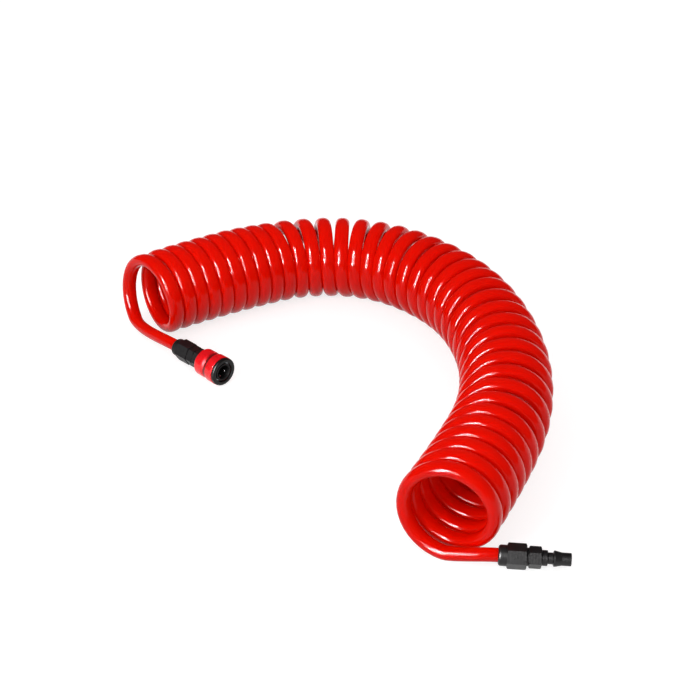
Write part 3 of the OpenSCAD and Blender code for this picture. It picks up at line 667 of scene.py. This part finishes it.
# ---- Operators ----
class AIRHOSE_OT_stage(bpy.types.Operator):
    """Camera, floor, lights and world"""
    bl_idname = "airhose.stage"
    bl_label = "Stage"

    def execute(self, context):
        scene = context.scene
        settings = scene.air_hose.stage
        lens = bpy.data.cameras.new("camera")
        lens.lens = settings.lens
        lens.sensor_width = 36
        lens.shift_x, lens.shift_y = settings.shift_x, settings.shift_y
        lens.clip_start, lens.clip_end = 0.05, 60
        camera = bpy.data.objects.new("camera", lens)
        camera.location = settings.camera_place
        camera.rotation_euler = (math.pi / 2 - settings.camera_tilt, 0, settings.camera_turn)
        scene.collection.objects.link(camera)
        scene.camera = camera
        self.floor(settings, scene.air_hose.colours)
        for name, power, size, distance, way, unseen_by in LAMPS:
            light = self.lamp(scene, name, getattr(settings, power), size, distance, way)
            setattr(light, "visible_" + unseen_by, False)
        scene.world = self.world(settings)
        scene.view_settings.view_transform = "Standard"
        return {"FINISHED"}

    def world(self, settings):
        """Even white light all round, dimmer where a reflection sees it."""
        world = bpy.data.worlds.new("studio")
        world.use_nodes = True
        tree = world.node_tree
        tree.nodes.clear()
        rays = add_node(tree, "ShaderNodeLightPath")
        level = add_node(tree, "ShaderNodeMapRange", Value=rays.outputs["Is Glossy Ray"],
                         To_Min=settings.world_level,
                         To_Max=settings.world_level * settings.world_gloss)
        shade = add_node(tree, "ShaderNodeBackground", Color=(1, 1, 1, 1),
                         Strength=level.outputs[0])
        add_node(tree, "ShaderNodeOutputWorld", Surface=shade.outputs[0])
        return world

    def floor(self, settings, colours):
        """Wide flat square of matt paper, a hair below the part. It adds a glow where it is
        seen, directly, through glass or in a reflection, and so keeps the part's shadow."""
        corners = np.array([[-FLOOR_REACH, -FLOOR_REACH], [FLOOR_REACH, -FLOOR_REACH],
                            [FLOOR_REACH, FLOOR_REACH], [-FLOOR_REACH, FLOOR_REACH]])
        corners = np.pad(corners, ((0, 0), (0, 1)), constant_values=-FLOOR_DROP)
        floor = mesh_piece("floor", corners, [np.arange(4)])
        material = bpy.data.materials.new("Seamless_paper_white")
        material.use_nodes = True
        tree = material.node_tree
        tree.nodes.clear()
        rays = add_node(tree, "ShaderNodeLightPath")
        matt = add_node(tree, "ShaderNodeBsdfDiffuse", Color=tuple(colours.floor))
        glow = add_node(tree, "ShaderNodeEmission", Color=(1, 1, 1, 1),
                        Strength=settings.floor_glow)
        both = add_node(tree, "ShaderNodeAddShader", i0=matt.outputs[0], i1=glow.outputs[0])
        unreflected = add_node(tree, "ShaderNodeMath", {"operation": "MAXIMUM"},
                               i0=rays.outputs["Is Camera Ray"],
                               i1=rays.outputs["Is Transmission Ray"])
        seen = add_node(tree, "ShaderNodeMath", {"operation": "MAXIMUM"},
                        i0=unreflected.outputs[0], i1=rays.outputs["Is Glossy Ray"])
        mixed = add_node(tree, "ShaderNodeMixShader", Fac=seen.outputs[0], i1=matt.outputs[0],
                         i2=both.outputs[0])
        add_node(tree, "ShaderNodeOutputMaterial", Surface=mixed.outputs[0])
        floor.data.materials.append(material)

    def lamp(self, scene, name, power, size, distance, towards):
        """Rectangular lamp at a distance from the part, in the given direction, facing it."""
        lamp = bpy.data.lights.new(name, "AREA")
        lamp.shape = "RECTANGLE"
        lamp.size, lamp.size_y = size
        lamp.energy = power
        obj = bpy.data.objects.new(name, lamp)
        way = unit(np.array(towards, float))
        side = unit(np.cross([0, 0, 1.0], way))
        up = np.cross(way, side)
        turn = np.stack([side, up, way, way * distance], axis=1)
        scene.collection.objects.link(obj)
        obj.matrix_world = Matrix([*turn.tolist(), [0, 0, 0, 1]])
        return obj


class AIRHOSE_OT_hose(bpy.types.Operator):
    """The whole hose, from nut to nut"""
    bl_idname = "airhose.hose"
    bl_label = "Hose"

    def execute(self, context):
        """The route's rings at the hose's radius, turned in at both ends to rings of the
        bore that go back in, so the ends are open tubes with a square cut."""
        sizes = context.scene.air_hose.sizes
        line, side, wound, width = hose_route(sizes)
        run = unit(np.gradient(line, axis=0))
        run[0], run[-1] = -SOCKET_RUN, PLUG_RUN
        place = along(line)
        order = np.concatenate([BORE_POINTS[::-1], np.arange(len(line)),
                                len(line) - 1 - BORE_POINTS])
        share = averaged(wound, EASE_POINTS)[:, None]
        wound_section = np.stack([np.full(len(line), sizes.wound_height), width], axis=1)
        radius = ((1 - share) * sizes.hose_diameter + share * wound_section)[order] / 2
        bore_rings = len(BORE_POINTS)
        radius[:bore_rings] = radius[-bore_rings:] = sizes.hose_bore / 2
        power = 2 + share[order, 0] * (sizes.wound_square - 2)
        rings = tube(line[order], run[order], side[order], radius, sizes.sides, power)
        # The coil rests on the flat of its underside.
        rings[..., 2] = np.maximum(rings[..., 2], 0)
        # Round the hose the map runs from one side to the other and back, so that no face
        # spans a seam.
        turned = np.arange(sizes.sides) / sizes.sides
        uv = np.stack(np.broadcast_arrays(
            place[order][:, None], np.abs(2 * turned - 1) * HALF_GIRTH), axis=-1)
        hose = mesh_piece("hose", rings, tube_faces(len(order), sizes.sides), uv)
        hose.data.materials.append(polyurethane_hose(context.scene.air_hose.colours))
        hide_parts("hose_coil", "hose_lead_socket", "hose_lead_plug",
                    "hose_end_socket", "hose_end_plug")
        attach(hose, "hose_and_fittings")
        return {"FINISHED"}


class AIRHOSE_OT_springs(bpy.types.Operator):
    """The sleeve's spring and the valve's spring"""
    bl_idname = "airhose.springs"
    bl_label = "Springs"

    def execute(self, context):
        sizes = context.scene.air_hose.sizes
        steel = plain_metal("Drawn_spring_steel", context.scene.air_hose.colours.spring,
                            roughness=0.32, grain_per_metre=1500.0)
        # The valve's spring is as long at rest as its solid, along the socket.
        co = np.array([v.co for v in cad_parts["valve_spring"].data.vertices])
        reach = (co - SOCKET_AT) @ SOCKET_RUN
        valve_foot = SOCKET_AT + reach.min() * SOCKET_RUN
        valve_length = reach.max() - reach.min()
        valve = spring_piece("valve_spring_wire", valve_foot, SOCKET_RUN, VALVE_SPRING_RADIUS,
                             sizes.valve_wire, sizes.valve_turns, valve_length)
        sleeve_foot = SOCKET_AT + BARREL_Z * SOCKET_RUN
        sleeve = spring_piece("sleeve_spring_wire", sleeve_foot, SOCKET_RUN,
                              SLEEVE_SPRING_RADIUS, sizes.sleeve_wire, sizes.sleeve_turns,
                              SLEEVE_SPRING_LENGTH)
        for piece, node in ((valve, "valve_spring"), (sleeve, "sleeve_spring")):
            piece.data.materials.append(steel)
            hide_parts(node)
            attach(piece, "hose_and_fittings")
        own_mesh(valve)
        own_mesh(sleeve)
        finish_nodes(steel, "sleeve_stop_ring")
        return {"FINISHED"}


class AIRHOSE_OT_sleeve(bpy.types.Operator):
    """The release sleeve, with its swelled grip, its groove and its front band"""
    bl_idname = "airhose.sleeve"
    bl_label = "Release sleeve"

    def execute(self, context):
        """Outside from the rear face forwards: a rounded edge, the grip, a shoulder that
        falls by SHOULDER_FALL of its length, the groove, and the band with rounded edges."""
        sizes = context.scene.air_hose.sizes
        rear, front = SLEEVE_INSIDE[-1, 1], SLEEVE_INSIDE[0, 1]
        grip, band, groove = sizes.grip_radius, sizes.band_radius, sizes.groove_radius
        groove_end = front - sizes.band_length
        groove_start = groove_end - sizes.groove_width
        ahead, outward = np.array([0, 1.0]), np.array([1.0, 0])
        fall = unit(np.array([-SHOULDER_FALL, 1.0]))
        shoulder = groove_start - (grip - groove) / SHOULDER_FALL
        foot = (groove + SHOULDER_FALL * FOOT_BACK, groove_start - FOOT_BACK)
        outside = np.concatenate([
            rounded((grip, rear), outward, ahead, REAR_ROUND, 8),
            rounded((grip, shoulder), ahead, fall, SHOULDER_ROUND),
            rounded(foot, fall, ahead, FOOT_ROUND, 4),
            [[groove, groove_end - WALL_LEAN]],
            rounded((band, groove_end), outward, ahead, BAND_REAR_ROUND),
            rounded((band, front), ahead, -outward, BAND_FRONT_ROUND)])
        profile = np.concatenate([outside, SLEEVE_INSIDE])
        sleeve = turned_piece("release_sleeve_turned", profile, SOCKET_AT, SOCKET_RUN)
        colours = context.scene.air_hose.colours
        # The sleeve's finish paints shade into the foot of its groove.
        sleeve.data.materials.append(
            turned_metal("Red_anodised_aluminium", colours.sleeve, colours.sleeve_deep,
                         SOCKET_AT, SOCKET_RUN, metallic=0.25, roughness=0.35,
                         relief_strength=0.08, specular=0.15, coat=0.6,
                         groove=(groove, 0.0011)))
        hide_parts("release_sleeve")
        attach(sleeve, "sleeve")
        return {"FINISHED"}


class AIRHOSE_OT_fittings(bpy.types.Operator):
    """Finishes of the nuts, the socket, its front guard and the plug"""
    bl_idname = "airhose.fittings"
    bl_label = "Fittings"

    def execute(self, context):
        colours = context.scene.air_hose.colours
        for end, at, run, roughness, specular, names in (
                ("socket", SOCKET_AT, SOCKET_RUN, 0.42, 0.13,
                 ("socket_nut", "socket_stem", "socket_body")),
                ("plug", PLUG_AT, PLUG_RUN, 0.32, 0.32,
                 ("plug_nut", "plug_body"))):
            black = turned_metal("Black_anodised_aluminium_" + end, colours.black,
                                 colours.black_worn, at, run, metallic=0.15,
                                 roughness=roughness, relief_strength=0.12,
                                 specular=specular)
            finish_nodes(black, *names)
        finish_nodes(acetal_guard(colours), "front_guard")
        return {"FINISHED"}


class AIRHOSE_OT_inner_parts(bpy.types.Operator):
    """Finishes of the seals, the valve and the locking balls"""
    bl_idname = "airhose.inner_parts"
    bl_label = "Inner parts"

    def execute(self, context):
        colours = context.scene.air_hose.colours
        finish_nodes(nitrile_rubber(colours), "body_gasket", "plug_packing", "valve_seal")
        brass = plain_metal("Turned_brass", colours.brass, roughness=0.6,
                            grain_per_metre=1200.0)
        finish_nodes(brass, "valve_poppet")
        ball_steel = plain_metal("Ground_ball_steel", colours.ball, roughness=0.08,
                                 grain_per_metre=2500.0, relief_strength=0.01)
        finish_nodes(ball_steel, *(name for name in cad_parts
                                   if name.startswith("locking_ball_")))
        return {"FINISHED"}


class AIRHOSE_PT_panel(bpy.types.Panel):
    """Lists the steps that build the hose"""
    bl_label = "Coiled Air Hose"
    bl_idname = "AIRHOSE_PT_panel"
    bl_space_type = "VIEW_3D"
    bl_region_type = "UI"
    bl_category = "Air Hose"

    def draw(self, context):
        for step in STEPS:
            self.layout.operator(step.bl_idname)


STEPS = (AIRHOSE_OT_stage, AIRHOSE_OT_hose, AIRHOSE_OT_springs, AIRHOSE_OT_sleeve,
         AIRHOSE_OT_fittings, AIRHOSE_OT_inner_parts)
CLASSES = (HoseSizes, FinishColours, StageSettings, HoseSettings, *STEPS, AIRHOSE_PT_panel)


def register():
    for cls in CLASSES:
        bpy.utils.register_class(cls)
    bpy.types.Scene.air_hose = PointerProperty(type=HoseSettings)


def unregister():
    del bpy.types.Scene.air_hose
    for cls in reversed(CLASSES):
        bpy.utils.unregister_class(cls)


def main():
    register()
    bpy.ops.airhose.stage()
    bpy.ops.airhose.hose()
    bpy.ops.airhose.springs()
    bpy.ops.airhose.sleeve()
    bpy.ops.airhose.fittings()
    bpy.ops.airhose.inner_parts()
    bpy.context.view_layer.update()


if __name__ == "__main__":
    main()
